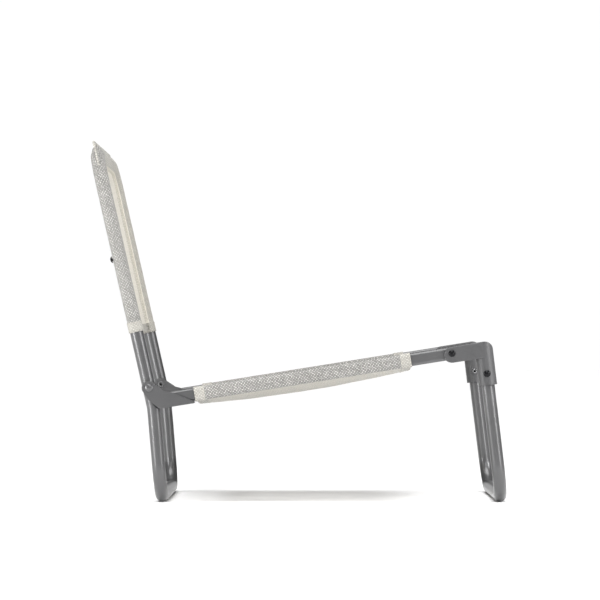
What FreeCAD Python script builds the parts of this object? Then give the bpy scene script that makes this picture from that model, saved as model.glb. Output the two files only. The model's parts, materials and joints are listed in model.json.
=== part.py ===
import FreeCAD, Part
import math
import os

# Low folding sling chair, millimetres. +X is the front, +Y the sitter's left, +Z is up.
# Three groups fold on two cross axes: the seat frame, the back hoop that runs on down
# into the rear legs, and the front leg hoop. Two woven slings carry the sitter.

Vector = FreeCAD.Vector
SIDES = (("left", 1), ("right", -1))

# overall frame
half_spacing = 270.0           # side tube centre planes from the middle of the chair
side_planes = (half_spacing, -half_spacing)
tube_radius = 12.5
tube_wall = 1.2
clearance = 0.3
running_fit = 0.05

# pivots, as X and Z in the side planes
front_pivot = (290.54, 283.3)
rear_pivot = (-282.56, 218.0)
rail_rise = 9.05               # degrees the seat rails climb towards the front

# seat rails, measured along the rail from the front pivot
rail_width = 25.0
rail_height = 24.0
rail_corner = 5.0
rail_wall = 1.5
rail_front_end = 20.0
rail_rear_end = -554.0
plug_face = 2.0                # thickness of the front plug's closing face
front_plug_depth = 44.0
rear_plug_depth = 24.0
saddle_reach = 12.0            # the rear plug's cupped head, past the rail end

# back hoop and rear legs, measured along the back tube from the rear pivot
back_lean = 12.8               # degrees from upright
hoop_top = 453.5
hoop_joint = 235.0
hoop_corner = 60.0
leg_bend_below = 39.3
leg_bend_radius = 90.0
rear_leg_lean = 4.83           # degrees, foot forward
floor_corner = 58.0
insert_radius = 11.0
insert_wall = 1.5
insert_half_length = 55.0
joint_rivet_height = 252.0

# front leg hoop
front_foot_x = 384.54
front_leg_lean = 6.83          # degrees, foot forward
front_leg_length = 281.0

# pivot brackets: folded sheet channel on the rear end of each rail
plate = 2.5
slot_half = tube_radius + clearance
boss_radius = 13.3
bracket_lower_edge = -16.4     # below the rail centre line
bracket_rear = -640.0          # clear of the bracket, for cutting its channel
bracket_front = -400.0
bracket_high = 90.0
bracket_web_rear = -560.0      # the web stops here, so the leg can pass
# upper outline from the boss to the tip, then the lower edge, as rail coordinates
bracket_upper = ((-562.8, 29.6), (-548.6, 16.4), (-537.0, 11.6), (-527.0, 6.1), (-497.0, -11.2))
bracket_lower = ((-494.2, -15.0), (-497.0, -16.4), (-562.5, -16.4), (-579.0, 1.8), (-589.0, 21.6))

# elbows: moulded forks with a socket for the leg tube
elbow_width = 35.0
elbow_top = 12.5               # above the rail centre line
elbow_bottom = -17.9
socket_radius = 17.35
socket_start = 212.0           # along the leg from the floor bar
elbow_corner = 16.0
elbow_edge = 2.0
fork_swing = 25.4              # room for the rail end as the leg folds
fork_front = 12.6
fork_room = 60.0               # clear of the fork, for cutting its slot
arm_reach = 61.5               # along the rail, inside the socket
socket_back = 30.0             # behind the socket's rear face
socket_room = 110.0            # longer than the socket
rivet_pad = 7.2
dimple_at = (46.0, -3.0)
dimple_radius = 10.0
dimple_depth = 0.4

# rivets
pivot_shaft = 4.0
pivot_head = (7.4, 3.2)        # radius, height
cap_head = (6.5, 4.0)
sleeve_shaft = 3.0
sleeve_rivet_height = 234.3    # along the leg from the floor bar
joint_shaft = 2.5
head_rim = 0.8
pivot_tail = 6.8               # radius of the rolled ring
front_pivot_tail = 5.6
sleeve_tail = 5.0
tail_height = 1.6
tail_bore_share = 0.6          # of the shaft
tail_depth = 6.0
rivet_hole_gap = 0.2
bush_radius = 5.8

# cross bars of the seat frame
cross_radius = 8.0
cross_wall = 1.2
front_cross_at = -48.0
rear_cross_at = (-533.0, -3.6)

# woven slings
cloth = 1.2
overrun = 5.0                  # past the cloth's ends, for cutting its sleeves
seat_cloth_rear = -493.5
seat_cloth_front = -78.0
hem_width = 20.0
seat_seam_drop = -4.0
seat_sag_ends = -22.0
seat_sag_middle = -30.0
back_cloth_start = 108.0
back_seam = 2.5                # behind the tube centre line
back_middle = 280.0
back_high = 447.5
back_sag_bottom = 20.0
back_sag_middle = 22.0
back_sag_top = 9.0
lip_top = 480.0
lip_half_width = 281.0
lip_ear_start = 430.0
lip_corner = 6.0


def direction(x, z):
    return Vector(x, 0, z)


rail_along = direction(math.cos(math.radians(rail_rise)), math.sin(math.radians(rail_rise)))
rail_up = direction(-rail_along.z, rail_along.x)
back_up = direction(-math.sin(math.radians(back_lean)), math.cos(math.radians(back_lean)))
back_rear = direction(-back_up.z, back_up.x)
rear_leg_down = direction(math.sin(math.radians(rear_leg_lean)), -math.cos(math.radians(rear_leg_lean)))
front_leg_up = direction(-math.sin(math.radians(front_leg_lean)), math.cos(math.radians(front_leg_lean)))


def rail_point(along, y, up):
    """A point in rail coordinates, measured from the front pivot."""
    return Vector(front_pivot[0], y, front_pivot[1]) + rail_along * along + rail_up * up


def back_point(height, y, behind):
    """A point in back coordinates, measured from the rear pivot up the tube."""
    return Vector(rear_pivot[0], y, rear_pivot[1]) + back_up * height + back_rear * behind


def leg_point(height, y):
    """A point on the front leg axis, measured from the floor bar."""
    return Vector(front_foot_x, y, tube_radius) + front_leg_up * height


def polygon_face(points):
    return Part.Face(Part.makePolygon(points + points[:1]))


def across(points, y_low, y_high):
    """Extrude an outline drawn at y_low sideways to y_high."""
    return polygon_face(points).extrude(Vector(0, y_high - y_low, 0))


def cylinder_across(x, z, radius, y_low, y_high):
    return Part.makeCylinder(radius, y_high - y_low, Vector(x, y_low, z), Vector(0, 1, 0))


def rounded_path(points, radii):
    """A wire through the points with each inner corner rounded."""
    edges = []
    last = points[0]
    for i, radius in enumerate(radii, start=1):
        to_last = (points[i - 1] - points[i]).normalize()
        to_next = (points[i + 1] - points[i]).normalize()
        half_angle = to_last.getAngle(to_next) / 2
        reach = radius / math.tan(half_angle)
        middle = (to_last + to_next).normalize()
        top = points[i] + middle * (radius / math.sin(half_angle) - radius)
        start = points[i] + to_last * reach
        end = points[i] + to_next * reach
        edges.append(Part.makeLine(last, start))
        edges.append(Part.Arc(start, top, end).toShape())
        last = end
    edges.append(Part.makeLine(last, points[-1]))
    return Part.Wire(edges)


def pipe(path, radius):
    """A solid round bar swept along a path."""
    first = path.Edges[0]
    start = first.valueAt(first.FirstParameter)
    heading = first.tangentAt(first.FirstParameter)
    return path.makePipeShell([Part.Wire([Part.makeCircle(radius, start, heading)])], True, True)


def tube(path, radius, wall):
    return pipe(path, radius).cut(pipe(path, radius - wall))


def rail_bar(start, end, y, width, height, corner):
    """A bar with rounded long edges, along the rail."""
    corners = ((-1, -1), (1, -1), (1, 1), (-1, 1))
    outline = [rail_point(start, y + a * width / 2, b * height / 2) for a, b in corners]
    bar = polygon_face(outline).extrude(rail_along * (end - start))
    long_edges = [e for e in bar.Edges if abs(e.tangentAt(e.FirstParameter).dot(rail_along)) > 0.99]
    return bar.makeFillet(corner, long_edges)


def dome(base, outward, radius, height):
    """A domed head with a short upright rim."""
    rise = height - head_rim
    ball = (radius ** 2 + rise ** 2) / (2 * rise)
    half_chord = radius / 2
    shoulder = height - ball + math.sqrt(ball ** 2 - half_chord ** 2)
    sideways = outward.cross(Vector(1, 0, 0)).normalize()
    rim = base + sideways * radius
    top = base + outward * height
    edge = rim + outward * head_rim
    outline = [Part.makeLine(base, rim), Part.makeLine(rim, edge),
               Part.Arc(edge, base + sideways * half_chord + outward * shoulder, top).toShape(),
               Part.makeLine(top, base)]
    return Part.Face(Part.Wire(outline)).revolve(base, outward, 360)


def rolled_end(base, outward, bore, radius):
    """The ring a hollow rivet's tail is rolled over into, standing off base."""
    sideways = outward.cross(Vector(1, 0, 0)).normalize()
    inner = base + sideways * bore
    outer = base + sideways * radius
    crown = base + sideways * (bore + radius) / 2 + outward * tail_height
    outline = [Part.makeLine(inner, outer), Part.Arc(outer, crown, inner).toShape()]
    return Part.Face(Part.Wire(outline)).revolve(base, outward, 360)


def through_rivet(centre, side, shaft, head, reach, tail):
    """A rivet lying across the chair: domed head outside, rolled hollow end inside."""
    outward = Vector(0, side, 0)
    half = reach + rivet_hole_gap
    start = centre - outward * half
    bore = shaft * tail_bore_share
    rivet = Part.makeCylinder(shaft, 2 * half, start, outward)
    rivet = rivet.fuse(dome(centre + outward * half, outward, *head))
    rivet = rivet.cut(Part.makeCylinder(bore, tail_depth, start, outward))
    return rivet.fuse(rolled_end(start, -outward, bore, tail))


def hoop_path(start_height, end_height):
    """The upper hoop's centre line between two heights on its side tubes."""
    side = half_spacing
    points = [back_point(start_height, side, 0), back_point(hoop_top, side, 0)]
    points += [back_point(hoop_top, -side, 0), back_point(end_height, -side, 0)]
    return rounded_path(points, (hoop_corner, hoop_corner))


def rear_leg_path():
    bend = back_point(-leg_bend_below, 0, 0)
    down = (bend.z - tube_radius) / -rear_leg_down.z
    foot = bend + rear_leg_down * down
    left = [back_point(hoop_joint - clearance, 0, 0), bend, foot]
    points = [p + Vector(0, half_spacing, 0) for p in left]
    points += [p - Vector(0, half_spacing, 0) for p in reversed(left)]
    return rounded_path(points, (leg_bend_radius, floor_corner, floor_corner, leg_bend_radius))


def joint_hole(y, radius):
    """The hole a joint rivet needs through whatever is behind the back tube's axis."""
    return Part.makeCylinder(radius, 3 * tube_radius, back_point(joint_rivet_height, y, 0), back_rear)


def rear_pivot_hole(radius):
    return cylinder_across(rear_pivot[0], rear_pivot[1], radius, -2 * half_spacing, 2 * half_spacing)


def back_hoop():
    hoop = tube(hoop_path(hoop_joint, hoop_joint), tube_radius, tube_wall)
    for y in side_planes:
        hoop = hoop.cut(joint_hole(y, joint_shaft + rivet_hole_gap))
    return hoop


def rear_leg_hoop():
    return tube(rear_leg_path(), tube_radius, tube_wall).cut(rear_pivot_hole(bush_radius + clearance))


def front_leg_hoop():
    side = half_spacing
    points = [leg_point(front_leg_length, side), leg_point(0, side)]
    points += [leg_point(0, -side), leg_point(front_leg_length, -side)]
    hoop = tube(rounded_path(points, (floor_corner, floor_corner)), tube_radius, tube_wall)
    rivet = leg_point(sleeve_rivet_height, 0)
    return hoop.cut(cylinder_across(rivet.x, rivet.z, sleeve_shaft + rivet_hole_gap, -2 * side, 2 * side))


def joint_insert(y):
    """The inner sleeve that joins the upper and lower hoops."""
    start = back_point(hoop_joint - insert_half_length, y, 0)
    insert = Part.makeCylinder(insert_radius, 2 * insert_half_length, start, back_up)
    bore = Part.makeCylinder(insert_radius - insert_wall, 2 * insert_half_length, start, back_up)
    return insert.cut(bore).cut(joint_hole(y, joint_shaft + rivet_hole_gap))


def joint_rivet(y):
    """A blind rivet whose domed head stands on the cloth behind the tube."""
    head_base = tube_radius + 2 * clearance + cloth
    inner = insert_radius - insert_wall - 2.0
    start = back_point(joint_rivet_height, y, inner)
    shaft = Part.makeCylinder(joint_shaft, head_base - inner, start, back_rear)
    return shaft.fuse(dome(back_point(joint_rivet_height, y, head_base), back_rear, *cap_head))


def rear_pivot_bush(y):
    ring = cylinder_across(*rear_pivot, bush_radius, y - tube_radius, y + tube_radius)
    return ring.cut(rear_pivot_hole(pivot_shaft + running_fit))


def seat_rail(y):
    outer = rail_bar(rail_rear_end, rail_front_end, y, rail_width, rail_height, rail_corner)
    walls = 2 * rail_wall
    inner = rail_bar(rail_rear_end, rail_front_end, y, rail_width - walls, rail_height - walls,
                     rail_corner - rail_wall)
    return outer.cut(inner).cut(front_pivot_hole(y, pivot_shaft + 2 * clearance))


def front_pivot_hole(y, radius):
    return cylinder_across(*front_pivot, radius, y - elbow_width, y + elbow_width)


def plug_body(start, end, y):
    gap = 2 * rail_wall + 2 * clearance
    return rail_bar(start, end, y, rail_width - gap, rail_height - gap, rail_corner - rail_wall)


def rail_front_plug(y):
    """Closes the rail's front end and carries the pivot rivet."""
    start = rail_front_end + clearance
    face = rail_bar(start, start + plug_face, y, rail_width, rail_height, rail_corner)
    plug = plug_body(rail_front_end - front_plug_depth, start + 0.5, y).fuse(face)
    return plug.cut(front_pivot_hole(y, pivot_shaft + running_fit)).removeSplitter()


def rail_rear_plug(y):
    """Closes the rail's rear end with a cupped head that the back tube rests in."""
    start = rail_rear_end - clearance
    head = rail_bar(start - saddle_reach, start, y, rail_width, rail_height, rail_corner)
    plug = plug_body(start - 0.5, rail_rear_end + rear_plug_depth, y).fuse(head)
    leg = pipe(rear_leg_path(), tube_radius + clearance)
    return plug.cut(leg).removeSplitter()


def rail_window(rear, front, low, high, y):
    """A block as wide as the slot between two plates or fork arms, in rail coordinates."""
    corners = ((rear, low), (rear, high), (front, high), (front, low))
    return across([rail_point(a, y - slot_half, b) for a, b in corners], y - slot_half, y + slot_half)


def pivot_bracket(y):
    """Two plates either side of the tube and rail, joined by a web under the rail."""
    low, high = y - slot_half - plate, y + slot_half + plate
    outline = [rail_point(a, low, b) for a, b in bracket_upper + bracket_lower]
    block = across(outline, low, high).fuse(cylinder_across(*rear_pivot, boss_radius, low, high))
    block = block.removeSplitter()
    channel = rail_window(bracket_rear, bracket_front, bracket_lower_edge + plate, bracket_high, y)
    leg_room = rail_window(bracket_rear, bracket_web_rear, -bracket_high, 0.0, y)
    return block.cut(channel).cut(leg_room).cut(rear_pivot_hole(pivot_shaft + rivet_hole_gap))


def elbow_arm(y):
    """The flat-sided arm from the fork's round end to the leg axis."""
    middle = (elbow_top + elbow_bottom) / 2
    round_end = (elbow_top - elbow_bottom) / 2
    low = y - elbow_width / 2
    top = rail_point(0, low, elbow_top)
    bottom = rail_point(0, low, elbow_bottom)
    corners = [top, rail_point(arm_reach, low, elbow_top), rail_point(arm_reach, low, elbow_bottom), bottom]
    edges = [Part.makeLine(a, b) for a, b in zip(corners, corners[1:])]
    edges.append(Part.Arc(bottom, rail_point(-round_end, low, middle), top).toShape())
    arm = Part.Face(Part.Wire(edges)).extrude(Vector(0, elbow_width, 0))
    faces = [f for f in arm.Faces if abs(f.normalAt(0, 0).y) > 0.99]
    buried = rail_point(arm_reach, y, middle)
    away = elbow_width / 2 + clearance
    rim = [e for f in faces for e in f.Edges if e.CenterOfMass.distanceToPoint(buried) > away]
    return arm.makeFillet(elbow_edge, rim)


def elbow_socket(y):
    """The round socket for the leg tube, with its outer top corner rounded off."""
    lean = math.radians(front_leg_lean - rail_rise)
    axis_at = (leg_point(0, 0) - rail_point(0, 0, 0)).dot(rail_along)
    axis_drop = (leg_point(0, 0) - rail_point(0, 0, 0)).dot(rail_up)
    slope = front_leg_up.dot(rail_along) / front_leg_up.dot(rail_up)
    edge = socket_radius / math.cos(lean)
    front_high = axis_at + slope * (elbow_top - axis_drop) + edge
    front_low = axis_at + slope * (-socket_room - axis_drop) + edge
    corners = ((socket_back, -socket_room), (socket_back, elbow_top), (front_high, elbow_top),
               (front_low, -socket_room))
    outline = [rail_point(a, y - elbow_width, b) for a, b in corners]
    block = across(outline, y - elbow_width, y + elbow_width)
    corner = rail_point(front_high, y, elbow_top)
    edges = [e for e in block.Edges if e.CenterOfMass.distanceToPoint(corner) < 1.0]
    block = block.makeFillet(elbow_corner, edges)
    socket = Part.makeCylinder(socket_radius, socket_room, leg_point(socket_start, y), front_leg_up)
    return socket.common(block)


def elbow(y, side):
    rivet = leg_point(sleeve_rivet_height, y)
    half = elbow_width / 2
    body = elbow_arm(y).fuse(elbow_socket(y))
    body = body.fuse(cylinder_across(rivet.x, rivet.z, rivet_pad, y - half, y + half))
    body = body.cut(Part.makeCylinder(slot_half, front_leg_length - socket_start + 1.5,
                                      leg_point(socket_start - 1.0, y), front_leg_up))
    swing = cylinder_across(*front_pivot, fork_swing, y - slot_half, y + slot_half)
    above = rail_window(-fork_room, fork_room, -rail_height / 2 - clearance, fork_room, y)
    behind = rail_window(-fork_room, fork_front, -fork_room, fork_room, y)
    body = body.cut(swing.common(above)).cut(behind)
    body = body.cut(front_pivot_hole(y, pivot_shaft + rivet_hole_gap))
    body = body.cut(cylinder_across(rivet.x, rivet.z, sleeve_shaft + rivet_hole_gap, y - elbow_width,
                                    y + elbow_width))
    centre = rail_point(dimple_at[0], y + side * (half - dimple_depth), dimple_at[1])
    return body.cut(Part.makeCylinder(dimple_radius, half, centre, Vector(0, side, 0)))


def front_crossbar():
    length = 2 * (half_spacing - rail_width / 2 - clearance)
    return cross_tube(rail_point(front_cross_at, -length / 2, 0), length)


def rear_crossbar():
    length = 2 * (half_spacing - slot_half - plate - clearance)
    return cross_tube(rail_point(rear_cross_at[0], -length / 2, rear_cross_at[1]), length)


def cross_tube(start, length):
    outer = Part.makeCylinder(cross_radius, length, start, Vector(0, 1, 0))
    return outer.cut(Part.makeCylinder(cross_radius - cross_wall, length, start, Vector(0, 1, 0)))


def cloth_section(place, half_width, seam, sag, thickness):
    """A thin curved strip across the chair, as a closed outline."""
    sides = [place(-half_width, seam), place(0, sag), place(half_width, seam)]
    back = [place(half_width, seam + thickness), place(0, sag + thickness),
            place(-half_width, seam + thickness)]
    edges = [Part.Arc(*sides).toShape(), Part.makeLine(sides[2], back[0])]
    edges += [Part.Arc(*back).toShape(), Part.makeLine(back[2], sides[0])]
    return Part.Wire(edges)


def seat_panel(stations, thickness):
    """The hanging part of the seat cloth between two or more places along the rails."""
    half_width = half_spacing - rail_width / 2 - clearance - cloth / 2
    sections = []
    for along, sag in stations:
        def place(y, up, along=along):
            return rail_point(along, y, up)
        sections.append(cloth_section(place, half_width, seat_seam_drop, sag, thickness))
    return Part.makeLoft(sections, True)


def rail_sleeve(start, end, y, proud):
    """A bar the shape of the rail, standing proud of it all round."""
    return rail_bar(start, end, y, rail_width + 2 * proud, rail_height + 2 * proud, rail_corner + proud)


def seat_sling():
    middle = (seat_cloth_rear + seat_cloth_front) / 2
    hem_sag = seat_sag_ends - 1.0
    rear = seat_cloth_rear + hem_width
    front = seat_cloth_front - hem_width
    sling = seat_panel(((rear, hem_sag), (middle, seat_sag_middle), (front, hem_sag)), cloth)
    sling = sling.fuse(seat_panel(((seat_cloth_rear, seat_sag_ends), (rear, hem_sag)), 2 * cloth))
    sling = sling.fuse(seat_panel(((front, hem_sag), (seat_cloth_front, seat_sag_ends)), 2 * cloth))
    for y in side_planes:
        sling = sling.fuse(rail_sleeve(seat_cloth_rear, seat_cloth_front, y, clearance + cloth))
    for y in side_planes:
        sling = sling.cut(rail_sleeve(seat_cloth_rear - overrun, seat_cloth_front + overrun, y, clearance))
    return sling


def back_panel(stations, thickness):
    half_width = half_spacing - tube_radius - clearance - cloth / 2
    sections = []
    for height, sag in stations:
        def place(y, behind, height=height):
            return back_point(height, y, behind)
        sections.append(cloth_section(place, half_width, back_seam, sag, thickness))
    return Part.makeLoft(sections, True)


def back_lip():
    """The flat double hem that stands above the top bar, square at both corners."""
    low = cloth
    outline = [back_point(h, y, -low) for y, h in (
        (-lip_half_width, lip_ear_start), (-lip_half_width, lip_top), (lip_half_width, lip_top),
        (lip_half_width, lip_ear_start), (half_spacing - hoop_corner, lip_ear_start),
        (half_spacing - hoop_corner, hoop_top), (hoop_corner - half_spacing, hoop_top),
        (hoop_corner - half_spacing, lip_ear_start))]
    lip = polygon_face(outline).extrude(back_rear * (2 * cloth))
    corners = [back_point(lip_top, y, 0) for y in (-lip_half_width, lip_half_width)]
    edges = [e for e in lip.Edges if min(e.CenterOfMass.distanceToPoint(c) for c in corners) < 1.0]
    return lip.makeFillet(lip_corner, edges)


def back_sling():
    inner = tube_radius + clearance
    hem = back_cloth_start + hem_width
    path = hoop_path(back_cloth_start, back_cloth_start)
    stations = ((hem, back_sag_bottom), (back_middle, back_sag_middle), (back_high, back_sag_top))
    sling = back_panel(stations, cloth)
    sling = sling.fuse(back_panel(((back_cloth_start, back_sag_bottom), (hem, back_sag_bottom)), 2 * cloth))
    sling = sling.fuse(pipe(path, inner + cloth)).fuse(back_lip())
    sling = sling.cut(pipe(hoop_path(back_cloth_start - overrun, back_cloth_start - overrun), inner))
    for y in side_planes:
        sling = sling.cut(joint_hole(y, joint_shaft + rivet_hole_gap))
    return sling


def side_parts(y, side):
    """The parts of one side of the chair, by their short names."""
    rear = Vector(rear_pivot[0], y, rear_pivot[1])
    front = Vector(front_pivot[0], y, front_pivot[1])
    sleeve = leg_point(sleeve_rivet_height, y)
    bracket = slot_half + plate
    fork = elbow_width / 2
    return {
        "seat_rail": seat_rail(y),
        "rail_front_plug": rail_front_plug(y),
        "rail_rear_plug": rail_rear_plug(y),
        "pivot_bracket": pivot_bracket(y),
        "rear_pivot_rivet": through_rivet(rear, side, pivot_shaft, pivot_head, bracket, pivot_tail),
        "rear_pivot_bush": rear_pivot_bush(y),
        "joint_insert": joint_insert(y),
        "joint_rivet": joint_rivet(y),
        "elbow": elbow(y, side),
        "front_pivot_rivet": through_rivet(front, side, pivot_shaft, cap_head, fork, front_pivot_tail),
        "sleeve_rivet": through_rivet(sleeve, side, sleeve_shaft, cap_head, fork, sleeve_tail),
    }


def build():
    shapes = {
        "back_hoop": back_hoop(),
        "rear_leg_hoop": rear_leg_hoop(),
        "front_leg_hoop": front_leg_hoop(),
        "seat_crossbar_front": front_crossbar(),
        "seat_crossbar_rear": rear_crossbar(),
        "seat_sling": seat_sling(),
        "back_sling": back_sling(),
    }
    for name, side in SIDES:
        for part, shape in side_parts(side * half_spacing, side).items():
            shapes[part + "_" + name] = shape
    return shapes


os.makedirs("parts", exist_ok=True)
for node, shape in build().items():
    shape.exportStep("parts/" + node + ".step")
    print(node, shape.isValid(), len(shape.Solids), round(shape.Volume / 1000, 2))
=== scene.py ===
import json
import math

import bpy
import bmesh
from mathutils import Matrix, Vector, noise


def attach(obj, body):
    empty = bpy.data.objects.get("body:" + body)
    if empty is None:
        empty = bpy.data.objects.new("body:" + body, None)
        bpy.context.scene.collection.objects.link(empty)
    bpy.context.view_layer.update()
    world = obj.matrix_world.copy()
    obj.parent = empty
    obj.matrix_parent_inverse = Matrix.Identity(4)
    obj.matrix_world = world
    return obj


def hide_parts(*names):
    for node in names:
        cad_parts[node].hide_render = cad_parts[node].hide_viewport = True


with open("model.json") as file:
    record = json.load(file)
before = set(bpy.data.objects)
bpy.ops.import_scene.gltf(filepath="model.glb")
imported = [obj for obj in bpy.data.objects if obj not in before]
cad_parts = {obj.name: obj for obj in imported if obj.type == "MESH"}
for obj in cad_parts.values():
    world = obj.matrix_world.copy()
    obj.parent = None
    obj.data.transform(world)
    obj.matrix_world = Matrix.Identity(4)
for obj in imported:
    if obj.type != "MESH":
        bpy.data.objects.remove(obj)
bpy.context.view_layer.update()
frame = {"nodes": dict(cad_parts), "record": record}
record = frame["record"]
joints = {j["name"]: j for j in record["behaviour"]["joints"]}

# ---------------------------------------------------------------- sizes, metres
MM = 0.001
SIDE = 270 * MM                    # side tube centre planes from the middle
RAIL_RISE = math.radians(9.05)     # the rails climb towards the front
BACK_LEAN = math.radians(12.8)     # the back leans away from upright
CLOTH = 0.8 * MM                   # one layer of cloth
HEM = 20 * MM                      # width of a turned hem
HEM_SWELL = 0.55 * MM              # a hem stands out from the single cloth
HEM_STITCHES = (3.0 * MM, 17.5 * MM)     # rows of stitches, from the cloth's edge
SEAM_STITCHES = (5.0 * MM, 11.0 * MM)    # rows of stitches, from where a panel meets its sleeve
FLAP_GAP = 1.3 * MM                # a sleeve's flap lies under the seat panel

# along and above the rails, from the front pivots
SEAT_REAR, SEAT_FRONT = -493.2 * MM, -78.3 * MM
SEAT_SEAM = -3.6 * MM
SEAT_SAG_END, SEAT_SAG_MID = -21.5 * MM, -29.5 * MM
RAIL_A, RAIL_B, RAIL_R = 13.1 * MM, 12.6 * MM, 5.8 * MM    # cloth round a rail: half sides, corner

# up and behind the back tubes, from the rear pivots
BACK_LOW = 108.4 * MM
HOOP_TOP, HOOP_CORNER = 453.5 * MM, 60 * MM
SLEEVE = 13.1 * MM                 # cloth's middle surface round the hoop tube
BACK_SEAM = 2.5 * MM
BACK_SAG = 21.0 * MM
LIP_TOP, LIP_SIDE, LIP_THICK = 480 * MM, 275 * MM, 3.6 * MM
LIP_STITCHES = (18.5 * MM, 24.0 * MM)    # rows of stitches, out from the top bar's centre line

front_pivot = Vector(joints["front_leg_fold"]["pos_m"])
rear_pivot = Vector(joints["back_fold"]["pos_m"])
rail_along = Vector((math.cos(RAIL_RISE), 0, math.sin(RAIL_RISE)))
rail_up = Vector((-rail_along.z, 0, rail_along.x))
back_up = Vector((-math.sin(BACK_LEAN), 0, math.cos(BACK_LEAN)))
back_rear = Vector((-back_up.z, 0, back_up.x))


def rail_point(along, y, up):
    return front_pivot + rail_along * along + Vector((0, y, 0)) + rail_up * up


def back_point(height, y, behind):
    return rear_pivot + back_up * height + Vector((0, y, 0)) + back_rear * behind


def smooth(t):
    t = min(max(t, 0.0), 1.0)
    return t * t * (3 - 2 * t)


def steps(a, b, n):
    return [a + (b - a) * i / n for i in range(n + 1)]


# ---------------------------------------------------------------- node helpers
def new_material(name, base, roughness, metallic=0.0):
    material = bpy.data.materials.new(name)
    material.use_nodes = True
    tree = material.node_tree
    shader = tree.nodes["Principled BSDF"]
    shader.inputs["Base Color"].default_value = (*base, 1)
    shader.inputs["Roughness"].default_value = roughness
    shader.inputs["Metallic"].default_value = metallic
    return material, tree, shader


def add(tree, kind, **settings):
    node = tree.nodes.new(kind)
    for key, value in settings.items():
        if key in node.inputs:
            node.inputs[key].default_value = value
        else:
            setattr(node, key, value)
    return node


def math_node(tree, operation, a, b=None):
    node = add(tree, "ShaderNodeMath", operation=operation)
    for socket, value in zip(node.inputs, (a, b)):
        if value is None:
            continue
        if isinstance(value, (int, float)):
            socket.default_value = value
        else:
            tree.links.new(value, socket)
    return node.outputs[0]


def mix_colour(tree, factor, a, b, blend="MIX"):
    node = add(tree, "ShaderNodeMix", data_type="RGBA", blend_type=blend)
    sockets = [s for s in node.inputs if s.type == "RGBA"]
    for socket, value in ((node.inputs["Factor"], factor), (sockets[0], a), (sockets[1], b)):
        if isinstance(value, (int, float)):
            socket.default_value = value
        elif isinstance(value, tuple):
            socket.default_value = (*value, 1)
        else:
            tree.links.new(value, socket)
    return [s for s in node.outputs if s.type == "RGBA"][0]


def ramp(tree, factor, stops):
    node = add(tree, "ShaderNodeValToRGB")
    elements = node.color_ramp.elements
    while len(elements) < len(stops):
        elements.new(0.5)
    for element, (position, value) in zip(elements, stops):
        element.position = position
        element.color = (value, value, value, 1)
    tree.links.new(factor, node.inputs["Fac"])
    return node.outputs["Color"]


def noise_at(tree, vector, scale, detail=3.0, roughness=0.5):
    node = add(tree, "ShaderNodeTexNoise", Scale=scale, Detail=detail, Roughness=roughness)
    tree.links.new(vector, node.inputs["Vector"])
    return node.outputs["Fac"]


def bump(tree, shader, height, distance, strength=1.0):
    node = add(tree, "ShaderNodeBump", Distance=distance, Strength=strength)
    tree.links.new(height, node.inputs["Height"])
    tree.links.new(node.outputs["Normal"], shader.inputs["Normal"])


# ---------------------------------------------------------------- materials
def coated_metal(name, base, roughness, peel=0.000006):
    """Satin powder coat: fine orange peel, faint cloudiness, a little dust and painted shade in narrow
    crevices.
    """
    material, tree, shader = new_material(name, base, roughness, 0.3)
    place = add(tree, "ShaderNodeTexCoord").outputs["Object"]
    cloud = noise_at(tree, place, 9.0, 4.0)
    dark = tuple(c * 0.93 for c in base)
    light = tuple(c * 1.08 for c in base)
    colour = mix_colour(tree, ramp(tree, cloud, ((0.35, 0), (0.65, 1))), dark, light)
    speck = noise_at(tree, place, 1400.0, 2.0)
    colour = mix_colour(tree, ramp(tree, speck, ((0.64, 0), (0.74, 0.12))), colour, (0.3, 0.3, 0.3))
    # painted shade: near-black colour in narrow crevices, such as where the pivot brackets meet the rails
    painted_crevice_shade = add(tree, "ShaderNodeAmbientOcclusion", samples=8, Distance=6 * MM).outputs["AO"]
    colour = mix_colour(tree, ramp(tree, painted_crevice_shade, ((0.45, 0.9), (0.75, 0.0))), colour, (0.012, 0.012, 0.012))
    tree.links.new(colour, shader.inputs["Base Color"])
    scuff = noise_at(tree, place, 60.0, 6.0, 0.7)
    rough = math_node(tree, "MULTIPLY_ADD", scuff, 0.05)
    rough.node.inputs[2].default_value = roughness - 0.025
    tree.links.new(rough, shader.inputs["Roughness"])
    bump(tree, shader, noise_at(tree, place, 380.0, 2.0), peel)
    shader.inputs["Specular IOR Level"].default_value = 0.6
    shader.inputs["Coat Weight"].default_value = 0.2
    shader.inputs["Coat Roughness"].default_value = 0.28
    return material


def moulded_plastic(name, base, roughness):
    """Matt moulded nylon with a fine spark-eroded grain and faint flow marks."""
    material, tree, shader = new_material(name, base, roughness)
    place = add(tree, "ShaderNodeTexCoord").outputs["Object"]
    flow = noise_at(tree, place, 35.0, 3.0)
    colour = mix_colour(tree, flow, tuple(c * 0.9 for c in base), tuple(c * 1.1 for c in base))
    tree.links.new(colour, shader.inputs["Base Color"])
    grain = add(tree, "ShaderNodeTexVoronoi", Scale=1800.0)
    tree.links.new(place, grain.inputs["Vector"])
    bump(tree, shader, grain.outputs["Distance"], 0.00005)
    rough = math_node(tree, "MULTIPLY_ADD", noise_at(tree, place, 90.0, 4.0), 0.14)
    rough.node.inputs[2].default_value = roughness - 0.07
    tree.links.new(rough, shader.inputs["Roughness"])
    return material


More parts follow.
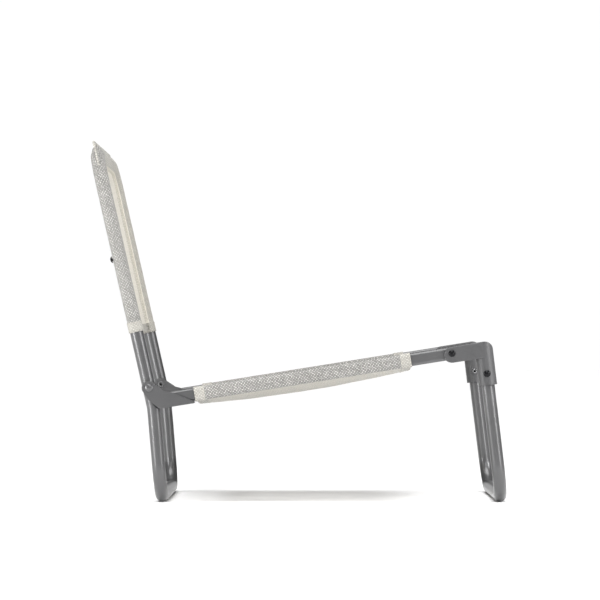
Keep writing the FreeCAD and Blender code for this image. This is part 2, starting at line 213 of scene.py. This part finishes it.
def black_gloss(name):
    """Glossy black caps with faint handling marks. The rolled tails, on the inner side, are bare steel."""
    cap, steel = (0.006, 0.006, 0.007), (0.22, 0.22, 0.225)
    material, tree, shader = new_material(name, cap, 0.16)
    place = add(tree, "ShaderNodeTexCoord").outputs["Object"]
    split = add(tree, "ShaderNodeSeparateXYZ")
    tree.links.new(place, split.inputs[0])
    tail = math_node(tree, "LESS_THAN", math_node(tree, "ABSOLUTE", split.outputs["Y"]), SIDE - 16 * MM)
    tree.links.new(mix_colour(tree, tail, cap, steel), shader.inputs["Base Color"])
    tree.links.new(tail, shader.inputs["Metallic"])
    marks = noise_at(tree, place, 420.0, 5.0, 0.65)
    rough = math_node(tree, "MULTIPLY_ADD", marks, 0.12)
    rough.node.inputs[2].default_value = 0.04
    tree.links.new(rough, shader.inputs["Roughness"])
    bump(tree, shader, marks, 0.00001)
    shader.inputs["Specular IOR Level"].default_value = 0.14
    return material


def drawn_steel(name):
    """Bare steel with fine drawing lines along its length."""
    material, tree, shader = new_material(name, (0.45, 0.45, 0.46), 0.4, 1.0)
    place = add(tree, "ShaderNodeTexCoord").outputs["Object"]
    stretch = add(tree, "ShaderNodeMapping")
    stretch.inputs["Scale"].default_value = (900, 900, 30)
    tree.links.new(place, stretch.inputs["Vector"])
    lines = noise_at(tree, stretch.outputs["Vector"], 1.0, 4.0)
    colour = mix_colour(tree, lines, (0.33, 0.33, 0.34), (0.52, 0.52, 0.53))
    tree.links.new(colour, shader.inputs["Base Color"])
    bump(tree, shader, lines, 0.00003)
    return material


def yarn_crown(tree, place):
    """Height of a yarn over one pitch: 0 at its edges, 1 along its middle."""
    wave = math_node(tree, "SINE", math_node(tree, "MULTIPLY", place, math.pi))
    return math_node(tree, "ABSOLUTE", wave)


def woven_cloth(name, light, dark, hole_share, pitch=2.9 * MM):
    """Coated open weave laid out on the cloth's own metres: crossing yarns, pinholes painted dark as the
    shade seen through them, uneven yarns.
    """
    material, tree, shader = new_material(name, light, 0.62)
    flat = add(tree, "ShaderNodeUVMap", uv_map="cloth").outputs["UV"]
    split = add(tree, "ShaderNodeSeparateXYZ")
    tree.links.new(flat, split.inputs[0])
    across = math_node(tree, "DIVIDE", split.outputs["X"], pitch)
    along = math_node(tree, "DIVIDE", split.outputs["Y"], pitch)
    over_x, over_y = yarn_crown(tree, across), yarn_crown(tree, along)
    cell_x = math_node(tree, "FLOOR", across)
    cell_y = math_node(tree, "FLOOR", along)
    turn = math_node(tree, "PINGPONG", math_node(tree, "ADD", cell_x, cell_y), 1.0)
    weft = math_node(tree, "MULTIPLY", over_x, turn)
    warp = math_node(tree, "MULTIPLY", over_y, math_node(tree, "SUBTRACT", 1.0, turn))
    height = math_node(tree, "ADD", weft, warp)
    low = math_node(tree, "MULTIPLY", over_x, over_y)
    cell = add(tree, "ShaderNodeCombineXYZ")
    tree.links.new(cell_x, cell.inputs[0])
    tree.links.new(cell_y, cell.inputs[1])
    chance = add(tree, "ShaderNodeTexWhiteNoise", noise_dimensions="2D")
    tree.links.new(cell.outputs[0], chance.inputs["Vector"])
    crossing = mix_colour(tree, turn, tuple((d + l) / 2 for d, l in zip(dark, light)), light)
    yarn = mix_colour(tree, ramp(tree, height, ((0.05, 0.0), (0.6, 1.0))), dark, crossing)
    uneven = 0.25 * hole_share
    shade = mix_colour(tree, chance.outputs["Value"], (0.94 - uneven,) * 3, (0.94 + uneven,) * 3)
    yarn = mix_colour(tree, 1.0, yarn, shade, "MULTIPLY")
    # painted shade: the pinholes darkened by hole_share, for the shade seen through them
    hole = ramp(tree, low, ((0.03, 1.0), (0.22, 0.0)))
    strength = math_node(tree, "MULTIPLY", hole, hole_share)
    yarn = mix_colour(tree, strength, yarn, tuple(c * 0.4 for c in dark))
    wide = noise_at(tree, flat, 14.0, 3.0)
    soil = mix_colour(tree, wide, (0.95, 0.945, 0.93), (1.03, 1.03, 1.03))
    tree.links.new(mix_colour(tree, 1.0, yarn, soil, "MULTIPLY"), shader.inputs["Base Color"])
    fuzz = noise_at(tree, flat, 2600.0, 2.0)
    total = math_node(tree, "ADD", height, math_node(tree, "MULTIPLY", fuzz, 0.25))
    bump(tree, shader, total, 0.00035)
    shader.inputs["Sheen Weight"].default_value = 0.12
    shader.inputs["Sheen Roughness"].default_value = 0.4
    shader.inputs["Specular IOR Level"].default_value = 0.35
    return material


def thread(name, base):
    """Twisted sewing thread."""
    material, tree, shader = new_material(name, base, 0.7)
    place = add(tree, "ShaderNodeTexCoord").outputs["Object"]
    twist = noise_at(tree, place, 2200.0, 2.0)
    tree.links.new(mix_colour(tree, twist, tuple(c * 0.75 for c in base), base), shader.inputs["Base Color"])
    bump(tree, shader, twist, 0.00008)
    return material


materials = {
    "frame_paint": coated_metal("grey_powder_coat", (0.082, 0.082, 0.084), 0.31),
    "elbow_plastic": moulded_plastic("grey_nylon", (0.064, 0.064, 0.066), 0.42),
    "plug_plastic": moulded_plastic("black_nylon", (0.02, 0.02, 0.021), 0.5),
    "painted_rivet": coated_metal("grey_rivet_paint", (0.085, 0.085, 0.087), 0.28),
    "black_rivet": black_gloss("black_cap"),
    "bare_steel": drawn_steel("drawn_steel"),
}
# one cloth in four tints, with light and shade painted in: over a tube the yarns are painted dark as shade,
# where the cloth hangs free it is painted light for the light that comes through its pinholes,
# doubled cloth is painted between the two, and the seat is painted a little darker than the back as shade
SLEEVE_ZONE, PANEL_ZONE, HEM_ZONE, SEAT_ZONE = 0, 1, 2, 3
cloth_materials = [
    woven_cloth("sling_weave_painted_shade_over_tube", (0.45, 0.442, 0.422), (0.075, 0.073, 0.07), 0.9),
    woven_cloth("sling_weave_painted_light_hanging", (0.77, 0.74, 0.665), (0.57, 0.548, 0.487), 0.25),
    woven_cloth("sling_weave_painted_half_light_doubled", (0.50, 0.485, 0.445), (0.24, 0.232, 0.215), 0.4),
    woven_cloth("sling_weave_painted_shade_seat", (0.54, 0.517, 0.463), (0.375, 0.36, 0.32), 0.32),
]
PANEL_WEAVE_AT, LIP_WEAVE_AT = 1.0, 2.0    # metres: each piece's weave starts at its own place
thread_material = thread("sewing_thread", (0.42, 0.40, 0.35))

slots = {s["node"]: s["material_slot"] for s in record["subparts"]}
for node_name, node in frame["nodes"].items():
    if slots[node_name] in materials:
        node.data.materials.clear()
        node.data.materials.append(materials[slots[node_name]])


# ---------------------------------------------------------------- cloth meshes
def sheet_object(name, pieces, thickness=2 * CLOTH):
    """One object from several grids: rows of points, of flat places, of hem weights and of zones."""
    mesh = bpy.data.meshes.new(name)
    points, faces, flats, weights, zones = [], [], [], [], []
    for rows, flat, hems, columns in pieces:
        start, width = len(points), len(rows[0])
        for row, flat_row, hem_row in zip(rows, flat, hems):
            points.extend(row)
            flats.extend(flat_row)
            weights.extend(hem_row)
        for i in range(len(rows) - 1):
            for j in range(width - 1):
                a = start + i * width + j
                faces.append((a, a + 1, a + width + 1, a + width))
                zones.append(columns[i][j])
    mesh.from_pydata(points, [], faces)
    layer = mesh.uv_layers.new(name="cloth")
    for loop in mesh.loops:
        layer.data[loop.index].uv = flats[loop.vertex_index]
    for material in cloth_materials:
        mesh.materials.append(material)
    for polygon, zone in zip(mesh.polygons, zones):
        polygon.use_smooth = True
        hemmed = min(weights[v] for v in polygon.vertices) > 0.5
        polygon.material_index = HEM_ZONE if hemmed else zone
    piece = bpy.data.objects.new(name, mesh)
    bpy.context.scene.collection.objects.link(piece)
    group = piece.vertex_groups.new(name="hem")
    for index, weight in enumerate(weights):
        group.add([index], weight, "REPLACE")
    solid = piece.modifiers.new("thickness", "SOLIDIFY")
    solid.thickness = thickness
    solid.thickness_vertex_group = 0.5
    solid.vertex_group = "hem"
    solid.offset = 0
    apply_modifiers(piece)
    return piece


def apply_modifiers(piece):
    depsgraph = bpy.context.evaluated_depsgraph_get()
    mesh = bpy.data.meshes.new_from_object(piece.evaluated_get(depsgraph), depsgraph=depsgraph)
    piece.modifiers.clear()
    piece.data = mesh


def rounded_loop(half_width, half_height, radius, start_up, n):
    """Places round a rounded rectangle, from the inner side down, under, out, over and back, as (out, up)."""
    straight_w, straight_h = 2 * (half_width - radius), 2 * (half_height - radius)
    arc = math.pi * radius / 2
    below = start_up + half_height - radius
    legs = (("line", below, (-half_width, start_up), (0, -1)),
            ("arc", arc, (-half_width + radius, -half_height + radius), math.pi),
            ("line", straight_w, (-half_width + radius, -half_height), (1, 0)),
            ("arc", arc, (half_width - radius, -half_height + radius), 1.5 * math.pi),
            ("line", straight_h, (half_width, -half_height + radius), (0, 1)),
            ("arc", arc, (half_width - radius, half_height - radius), 0.0),
            ("line", straight_w, (half_width - radius, half_height), (-1, 0)),
            ("arc", arc, (-half_width + radius, half_height - radius), 0.5 * math.pi),
            ("line", straight_h - below, (-half_width, half_height - radius), (0, -1)))
    total = sum(leg[1] for leg in legs)

    def outline(t):
        left = t * total
        for kind, length, place, heading in legs:
            if left <= length + 1e-9:
                break
            left -= length
        if kind == "line":
            return place[0] + heading[0] * left, place[1] + heading[1] * left
        angle = heading + left / radius
        return place[0] + radius * math.cos(angle), place[1] + radius * math.sin(angle)
    return [outline(i / n) for i in range(n + 1)]


def row_places(low, high, hem_low, hem_high, spacing):
    """Row positions with close pairs at the edge of each hem."""
    edges = [low]
    if hem_low:
        edges += [low + HEM - 0.5 * MM, low + HEM + 0.5 * MM]
    if hem_high:
        edges += [high - HEM - 0.5 * MM, high - HEM + 0.5 * MM]
    edges.append(high)
    rows = []
    for a, b in zip(edges, edges[1:]):
        rows += steps(a, b, max(1, round((b - a) / spacing)))[:-1]
    return rows + [high]


def ripple(place, scale, seed):
    """Smooth seeded waviness, about -1 to 1."""
    return noise.noise(Vector((place[0] * scale, place[1] * scale, seed)))


def seat_sag(along):
    """Height of the hanging seat along its middle, above the rail centre line."""
    t = (along - SEAT_REAR) / (SEAT_FRONT - SEAT_REAR)
    return SEAT_SAG_END + (SEAT_SAG_MID - SEAT_SAG_END) * 4 * t * (1 - t)


def hem_weight(value, low, high):
    return 1.0 if value < low + HEM or value > high - HEM else 0.0


def puckers(along, uneven):
    """Small waves that the seam's stitches pull into the cloth."""
    return 0.35 * MM * math.sin(along / (11 * MM) * 2 * math.pi + 3 * uneven)


def seat_panel_up(y, along, half):
    """Height of the hanging cloth above the rail centre line."""
    t = y / half
    near_seam = max(0.0, 1 - (half - abs(y)) / (26 * MM))
    pucker = near_seam * puckers(along, ripple((along, 0), 18, 2.0))
    drape = 0.9 * MM * ripple((y, along), 9, 5.0) + 0.4 * MM * ripple((y, along), 24, 7.0)
    return SEAT_SEAM + (seat_sag(along) - SEAT_SEAM) * (1 - t * t) + pucker * near_seam + drape * (1 - t ** 4)


def seat_row(along):
    """One crossing of the seat cloth: flap, loop round a rail, panel, loop round the other rail, flap."""
    weight = hem_weight(along, SEAT_REAR, SEAT_FRONT)
    swell = HEM_SWELL * weight
    half = SIDE - RAIL_A - swell
    loop = rounded_loop(RAIL_A + swell, RAIL_B + swell, RAIL_R, SEAT_SEAM - FLAP_GAP, 44)
    side = [(SIDE + out, up) for out, up in loop]
    flap = [(half - reach, seat_panel_up(half - reach, along, half) - 1.25 * MM) for reach in
            (14 * MM, 10 * MM, 6 * MM, 2.5 * MM)]
    panel = [(y, seat_panel_up(y, along, half)) for y in steps(half - 1.2 * MM, 0.0, 40)[1:]]
    place = flap + side + panel
    mirrored = [(-y, up) for y, up in reversed(place[:-1])]
    zones = [SLEEVE_ZONE] * (len(flap) + len(side)) + [SEAT_ZONE] * len(panel)
    return place + mirrored, weight, zones + zones[-2::-1]


def seat_grid():
    """The seat cloth from rear to front: two sleeves, their flaps and the panel between them."""
    rows, flats, hems = [], [], []
    for along in row_places(SEAT_REAR, SEAT_FRONT, True, True, 3.0 * MM):
        outline, weight, zones = seat_row(along)
        travelled, flat = 0.0, []
        last = outline[0]
        for place in outline:
            travelled += math.dist(place, last)
            last = place
            flat.append((travelled, along - SEAT_REAR))
        rows.append([rail_point(along, y, up) for y, up in outline])
        flats.append(flat)
        hems.append([weight] * len(outline))
    return rows, flats, hems, [zones] * len(rows)


def hoop_stations():
    """Places along the hoop, from its left foot over the top to its right: height, y, outward angle."""
    straight = [(h, 0.0) for h in row_places(BACK_LOW, HOOP_TOP - HOOP_CORNER, True, False, 4.0 * MM)]
    places = [(h, SIDE, 90.0) for h, _ in straight]
    centre_y, centre_h = SIDE - HOOP_CORNER, HOOP_TOP - HOOP_CORNER
    for degrees in steps(90.0, 0.0, 26)[1:]:
        a = math.radians(degrees)
        out_h, out_y = HOOP_CORNER * math.cos(a), HOOP_CORNER * math.sin(a)
        places.append((centre_h + out_h, centre_y + out_y, degrees))
    places += [(HOOP_TOP, y, 0.0) for y in steps(centre_y, 0.0, 44)[1:]]
    places += [(h, -y, -d) for h, y, d in reversed(places[:-1])]
    return places


def lip_reach(height, y, degrees):
    """How far the flat double hem stands out from the hoop's centre line."""
    a = math.radians(abs(degrees))
    reach = [(LIP_TOP - height) / math.cos(a)] if math.cos(a) > 0.01 else []
    if math.sin(a) > 0.01:
        reach.append((LIP_SIDE - abs(y)) / math.sin(a))
    return min(reach)


def sleeve_zone(facing, degrees):
    """The weave tint of one strip of the sleeve, by how far it faces the chair's middle: the tints are
    painted light and shade.
    """
    if facing > 0.9:
        return PANEL_ZONE
    on_top_bar = abs(degrees) < 1
    return HEM_ZONE if facing > 0.12 or on_top_bar else SLEEVE_ZONE


def sleeve_grid():
    """The back cloth's sleeve. Along the top bar it rises to a point that runs into the lip."""
    rows, flats, hems, zones = [], [], [], []
    travelled, last = 0.0, None
    around = 34
    inward = [math.cos(2 * math.pi * (k + 0.5) / around) for k in range(around)]
    point_height, point_spread = 8.5 * MM, 0.95
    for height, y, degrees in hoop_stations():
        a = math.radians(degrees)
        outward = (math.cos(a), math.sin(a))
        if last:
            travelled += math.dist((height, y), last)
        last = (height, y)
        weight = 1.0 if height < BACK_LOW + HEM and abs(degrees) > 89 else 0.0
        rise = smooth((lip_reach(height, y, degrees) - 15 * MM) / (9 * MM))
        row, flat = [], []
        for k in range(around + 1):
            turn = math.pi + 2 * math.pi * k / around
            off_lip = abs(math.remainder(turn, 2 * math.pi))
            point = point_height * rise * max(0.0, 1 - off_lip / point_spread) ** 1.6
            radius = SLEEVE + HEM_SWELL * weight + point
            radius += 0.22 * MM * ripple((travelled, turn * SLEEVE), 45, 3.0)
            out, behind = radius * math.cos(turn), radius * math.sin(turn)
            row.append(back_point(height + outward[0] * out, y + outward[1] * out, behind))
            flat.append((turn * SLEEVE, travelled))
        rows.append(row)
        flats.append(flat)
        hems.append([weight] * len(row))
        zones.append([sleeve_zone(facing, degrees) for facing in inward])
    return rows, flats, hems, zones


def back_sag(height):
    """How far behind the tubes the back panel's middle lies: deep low down, tight under the top bar."""
    t = (height - BACK_LOW) / (HOOP_TOP - SLEEVE - BACK_LOW)
    below_bar = 0.1 + 0.9 * smooth((1 - t) / 0.75)
    above_hem = 0.92 + 0.08 * smooth(t / 0.4)
    return BACK_SEAM + (BACK_SAG - BACK_SEAM) * below_bar * above_hem


def panel_half_width(height):
    """Half the back panel's width, which narrows between the hoop's corners."""
    edge = SIDE - HOOP_CORNER
    centre = HOOP_TOP - HOOP_CORNER
    reach = SLEEVE - 0.5 * MM
    if height <= centre:
        return SIDE - reach
    inner = HOOP_CORNER - reach
    return edge + math.sqrt(max(0.0, inner ** 2 - (height - centre) ** 2))


def back_panel_behind(y, height):
    """How far behind the tubes' centre plane the back panel lies."""
    half = panel_half_width(height)
    t = y / half
    near_seam = max(0.0, 1 - (half - abs(y)) / (24 * MM)) ** 2
    pucker = near_seam * puckers(height, ripple((height, 1), 18, 9.0))
    drape = 0.9 * MM * ripple((y, height), 8, 11.0) + 0.4 * MM * ripple((y, height), 22, 13.0)
    return BACK_SEAM + (back_sag(height) - BACK_SEAM) * (1 - t * t) + pucker + drape * (1 - t ** 4)


def back_grid():
    """The back panel between the sleeves and the top bar."""
    rows, flats, hems = [], [], []
    centre = HOOP_TOP - HOOP_CORNER
    inner = HOOP_CORNER - SLEEVE + 0.5 * MM
    heights = row_places(BACK_LOW, centre, True, False, 3.0 * MM)
    heights += [centre + inner * math.sin(math.radians(d)) for d in steps(0.0, 90.0, 26)[1:]]
    for height in heights:
        half = panel_half_width(height)
        weight = 1.0 if height < BACK_LOW + HEM else 0.0
        row = [(half * t, height) for t in steps(-1.0, 1.0, 84)]
        rows.append([back_point(h, y, back_panel_behind(y, h)) for y, h in row])
        flats.append([(y + PANEL_WEAVE_AT, h) for y, h in row])
        hems.append([weight] * len(row))
    return rows, flats, hems, [[PANEL_ZONE] * len(rows[0])] * len(rows)


def lip_grid():
    """The flat double hem above the top bar, out to the square corners outside the hoop's bends."""
    rows, flats, hems = [], [], []
    travelled, last = 0.0, None
    for height, y, degrees in hoop_stations():
        if last:
            travelled += math.dist((height, y), last)
        last = (height, y)
        reach = lip_reach(height, y, degrees)
        if reach < SLEEVE + 0.6 * MM:
            continue
        a = math.radians(degrees)
        root = SLEEVE * 0.97
        row, flat = [], []
        for t in steps(0.0, 1.0, 6):
            out = root + (reach - root) * t
            wave = 0.8 * MM * t * ripple((travelled, 0), 16, 21.0)
            wave += 0.3 * MM * t * ripple((travelled, t), 60, 22.0)
            row.append(back_point(height + math.cos(a) * out, y + math.sin(a) * out, wave))
            flat.append((out + LIP_WEAVE_AT, travelled))
        rows.append(row)
        flats.append(flat)
        hems.append([1.0] * len(row))
    return rows, flats, hems, [[HEM_ZONE] * len(rows[0])] * len(rows)


seat_cloth = sheet_object("seat_cloth", [seat_grid()])
back_cloth = sheet_object("back_cloth", [back_grid(), sleeve_grid()])
back_lip = sheet_object("back_lip", [lip_grid()], LIP_THICK)


# ---------------------------------------------------------------- stitching
def stitch_row(target, line, length=3.2 * MM, gap=1.3 * MM, radius=0.32 * MM):
    """Separate stitches laid along a line of (point, normal)."""
    position = 0.0
    distances = [0.0]
    for (a, _), (b, _) in zip(line, line[1:]):
        distances.append(distances[-1] + (b - a).length)
    total = distances[-1]

    def at(distance):
        for i in range(len(distances) - 1):
            if distance <= distances[i + 1] or i == len(distances) - 2:
                share = (distance - distances[i]) / max(distances[i + 1] - distances[i], 1e-9)
                point = line[i][0].lerp(line[i + 1][0], share)
                normal = line[i][1].lerp(line[i + 1][1], share).normalized()
                return point, normal
    while position + length < total:
        (a, na), (b, nb) = at(position), at(position + length)
        add_stitch(target, a, b, (na + nb).normalized(), radius)
        position += length + gap


def add_stitch(target, a, b, normal, radius):
    """One stitch: a short thread that rises from the cloth, runs and dips back in."""
    along = b - a
    side = along.cross(normal).normalized()
    turns = [k * math.pi / 3 for k in range(6)]
    rings = []
    for t, lift in ((0.0, -0.9), (0.12, 0.35), (0.5, 0.75), (0.88, 0.35), (1.0, -0.9)):
        centre = a + along * t + normal * (radius * lift)
        size = radius * (0.6 if t in (0.0, 1.0) else 1.0)
        places = [centre + side * (size * math.cos(q)) + normal * (size * math.sin(q)) for q in turns]
        rings.append([target.verts.new(place) for place in places])
    for ring, following in zip(rings, rings[1:]):
        for k, after in zip(range(6), (1, 2, 3, 4, 5, 0)):
            target.faces.new((ring[k], ring[after], following[after], following[k]))
    target.faces.new(list(reversed(rings[0])))
    target.faces.new(rings[-1])


def stitching(name, lines):
    """All the stitches of one cloth as one piece."""
    target = bmesh.new()
    for line in lines:
        stitch_row(target, line)
    mesh = bpy.data.meshes.new(name)
    target.to_mesh(mesh)
    target.free()
    for polygon in mesh.polygons:
        polygon.use_smooth = True
    mesh.materials.append(thread_material)
    piece = bpy.data.objects.new(name, mesh)
    bpy.context.scene.collection.objects.link(piece)
    return piece


def seat_line_across(along, lift, side):
    """Along a crossing of the seat cloth, on its upper side (1) or under side (-1)."""
    outline = seat_row(along)[0]
    line = []
    for (y0, u0), (y1, u1) in zip(outline[4:-4], outline[5:-3]):
        tangent = Vector((0, y1 - y0, 0)) + rail_up * (u1 - u0)
        if tangent.length < 1e-7:
            continue
        normal = rail_along.cross(tangent).normalized() * side
        line.append((rail_point(along, (y0 + y1) / 2, (u0 + u1) / 2) + normal * lift, normal))
    return line


def seat_line_along(inset, hand, side):
    """Along a seam of the seat, through the panel and the flap under it."""
    half = SIDE - RAIL_A
    y = hand * (half - inset)
    lift = CLOTH * 0.5 if side > 0 else -(CLOTH * 0.5 + FLAP_GAP)
    return [(rail_point(along, y, seat_panel_up(y, along, half)) + rail_up * lift, rail_up * side)
            for along in steps(SEAT_REAR + 1 * MM, SEAT_FRONT - 1 * MM, 90)]


def back_line_across(height, side):
    """Across the back panel, behind it (1) or in front of it (-1)."""
    half = panel_half_width(height)
    lift = CLOTH * (1.0 if height < BACK_LOW + HEM else 0.5)
    return [(back_point(height, y, back_panel_behind(y, height) + side * lift), back_rear * side)
            for y in steps(-half + 2 * MM, half - 2 * MM, 90)]


def back_line_up(inset, hand, side):
    """Up a seam of the back panel."""
    line = []
    for height in steps(BACK_LOW + 1 * MM, HOOP_TOP - HOOP_CORNER, 90):
        y = panel_half_width(height) - inset
        behind = back_panel_behind(y, height) + side * CLOTH * 0.55
        line.append((back_point(height, hand * y, behind), back_rear * side))
    return line


def sleeve_ring(height, y):
    """A line of stitching round a side tube's sleeve, in its hem."""
    radius = SLEEVE + HEM_SWELL + CLOTH
    line = []
    for turn in steps(0.0, 2 * math.pi, 30):
        normal = Vector((0, math.cos(turn), 0)) + back_rear * math.sin(turn)
        line.append((back_point(height, y, 0) + normal * radius, normal))
    return line


def lip_line(out, side):
    """Along the lip above the top bar."""
    line = []
    for height, y, degrees in hoop_stations():
        reach = lip_reach(height, y, degrees)
        if reach < out + 4 * MM or abs(degrees) > 20:
            continue
        a = math.radians(degrees)
        place = back_point(height + math.cos(a) * out, y + math.sin(a) * out, side * LIP_THICK * 0.52)
        line.append((place, back_rear * side))
    return line


seat_lines = []
for edge, inward in ((SEAT_REAR, 1), (SEAT_FRONT, -1)):
    for inset in HEM_STITCHES:
        seat_lines += [seat_line_across(edge + inward * inset, CLOTH, side) for side in (1, -1)]
for inset in SEAM_STITCHES:
    for hand in (1, -1):
        seat_lines += [seat_line_along(inset, hand, side) for side in (1, -1)]
seat_stitching = stitching("seat_stitching", seat_lines)

back_lines = []
for side in (1, -1):
    back_lines += [back_line_across(BACK_LOW + inset, side) for inset in HEM_STITCHES]
    back_lines += [lip_line(out, side) for out in LIP_STITCHES]
    for inset in SEAM_STITCHES:
        back_lines += [back_line_up(inset, hand, side) for hand in (1, -1)]
for hand in (1, -1):
    back_lines += [sleeve_ring(BACK_LOW + inset, hand * SIDE) for inset in HEM_STITCHES]
back_stitching = stitching("back_stitching", back_lines)

# ---------------------------------------------------------------- what rides on what
for piece, body in ((seat_cloth, "seat_frame"), (seat_stitching, "seat_frame"), (back_cloth, "back_frame"),
                    (back_lip, "back_frame"), (back_stitching, "back_frame")):
    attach(piece, body)
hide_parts("seat_sling")
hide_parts("back_sling")


# ---------------------------------------------------------------- room, lights, camera
def floor_material():
    material, tree, shader = new_material("pale_floor", (0.97, 0.97, 0.97), 0.75)
    place = add(tree, "ShaderNodeTexCoord").outputs["Object"]
    cloud = noise_at(tree, place, 3.0, 3.0)
    colour = mix_colour(tree, cloud, (0.965, 0.965, 0.965), (0.985, 0.985, 0.985))
    tree.links.new(colour, shader.inputs["Base Color"])
    shader.inputs["Specular IOR Level"].default_value = 0.1
    return material


def floor_plane():
    mesh = bpy.data.meshes.new("floor")
    reach = 30.0
    mesh.from_pydata([(-reach, -reach, 0), (reach, -reach, 0), (reach, reach, 0), (-reach, reach, 0)], [],
                     [(0, 1, 2, 3)])
    mesh.materials.append(floor_material())
    floor = bpy.data.objects.new("floor", mesh)
    bpy.context.scene.collection.objects.link(floor)


def aim(thing, direction):
    """Lamps and cameras look along their own -Z."""
    thing.rotation_mode = "QUATERNION"
    thing.rotation_quaternion = Vector(direction).to_track_quat("-Z", "Y")


def soft_box(name, place, target, width, height, power):
    """A rectangular lamp, in metres and watts."""
    light = bpy.data.lights.new(name, "AREA")
    light.shape = "RECTANGLE"
    light.size, light.size_y = width, height
    light.energy = power
    lamp = bpy.data.objects.new(name, light)
    lamp.location = place
    aim(lamp, Vector(target) - Vector(place))
    bpy.context.scene.collection.objects.link(lamp)


def sky_share(tree, value, low, high):
    """Turns a part of the sky direction into a smooth share from 0 to 1."""
    node = add(tree, "ShaderNodeMapRange", interpolation_type="SMOOTHSTEP")
    tree.links.new(value, node.inputs["Value"])
    node.inputs["From Min"].default_value = low
    node.inputs["From Max"].default_value = high
    return node.outputs["Result"]


def studio_world():
    """White walls ahead, behind and to each side, dimmer between them, so that tubes show their edges."""
    world = bpy.data.worlds.new("studio")
    world.use_nodes = True
    tree = world.node_tree
    heading = add(tree, "ShaderNodeTexCoord").outputs["Generated"]
    split = add(tree, "ShaderNodeSeparateXYZ")
    tree.links.new(heading, split.inputs[0])
    sideways = math_node(tree, "ABSOLUTE", split.outputs["X"])
    behind = sky_share(tree, split.outputs["Y"], 0.955, 0.985)
    beside = sky_share(tree, sideways, 0.985, 0.996)
    nearer = sky_share(tree, math_node(tree, "MULTIPLY", split.outputs["Y"], -1.0), -0.1, 0.6)
    wall = math_node(tree, "MULTIPLY_ADD", nearer, 0.10)
    wall.node.inputs[2].default_value = 0.05
    total = math_node(tree, "MAXIMUM", math_node(tree, "MAXIMUM", behind, beside), wall)
    background = tree.nodes["Background"]
    tree.links.new(total, background.inputs["Color"])
    background.inputs["Strength"].default_value = 1.02
    bpy.context.scene.world = world


def soft_sun(strength, spread, heading):
    """A wide diffuser overhead, spread in degrees."""
    light = bpy.data.lights.new("overhead_diffuser", "SUN")
    light.energy = strength
    light.angle = math.radians(spread)
    lamp = bpy.data.objects.new("overhead_diffuser", light)
    aim(lamp, heading)
    bpy.context.scene.collection.objects.link(lamp)


floor_plane()
soft_box("strip_front", (1.6, -1.15, 0.62), (0.25, 0, 0.4), 0.12, 1.1, 13)
soft_box("strip_rear", (-1.37, -1.05, 0.42), (-0.33, 0, 0.35), 0.12, 0.9, 18.5)
soft_box("key", (0.3, -1.9, 1.55), (0, -0.2, 0.3), 0.9, 0.6, 12)
soft_box("panel_fill", (2.6, -0.9, 1.7), (-0.35, 0, 0.45), 0.8, 0.8, 50)
soft_sun(3.25, 50, (0.1, 0.2, -1.0))
studio_world()
bpy.context.scene.view_settings.view_transform = "Standard"

camera_data = bpy.data.cameras.new("camera")
camera_data.lens = 218.5
camera_data.sensor_width = 36
camera_data.clip_start, camera_data.clip_end = 0.1, 60
camera = bpy.data.objects.new("camera", camera_data)
camera.location = (0.0336, -7.168, 0.3086)
aim(camera, (-0.004393, 1, 0.010983))    # square to the chair's side, a touch up
bpy.context.scene.collection.objects.link(camera)
bpy.context.scene.camera = camera
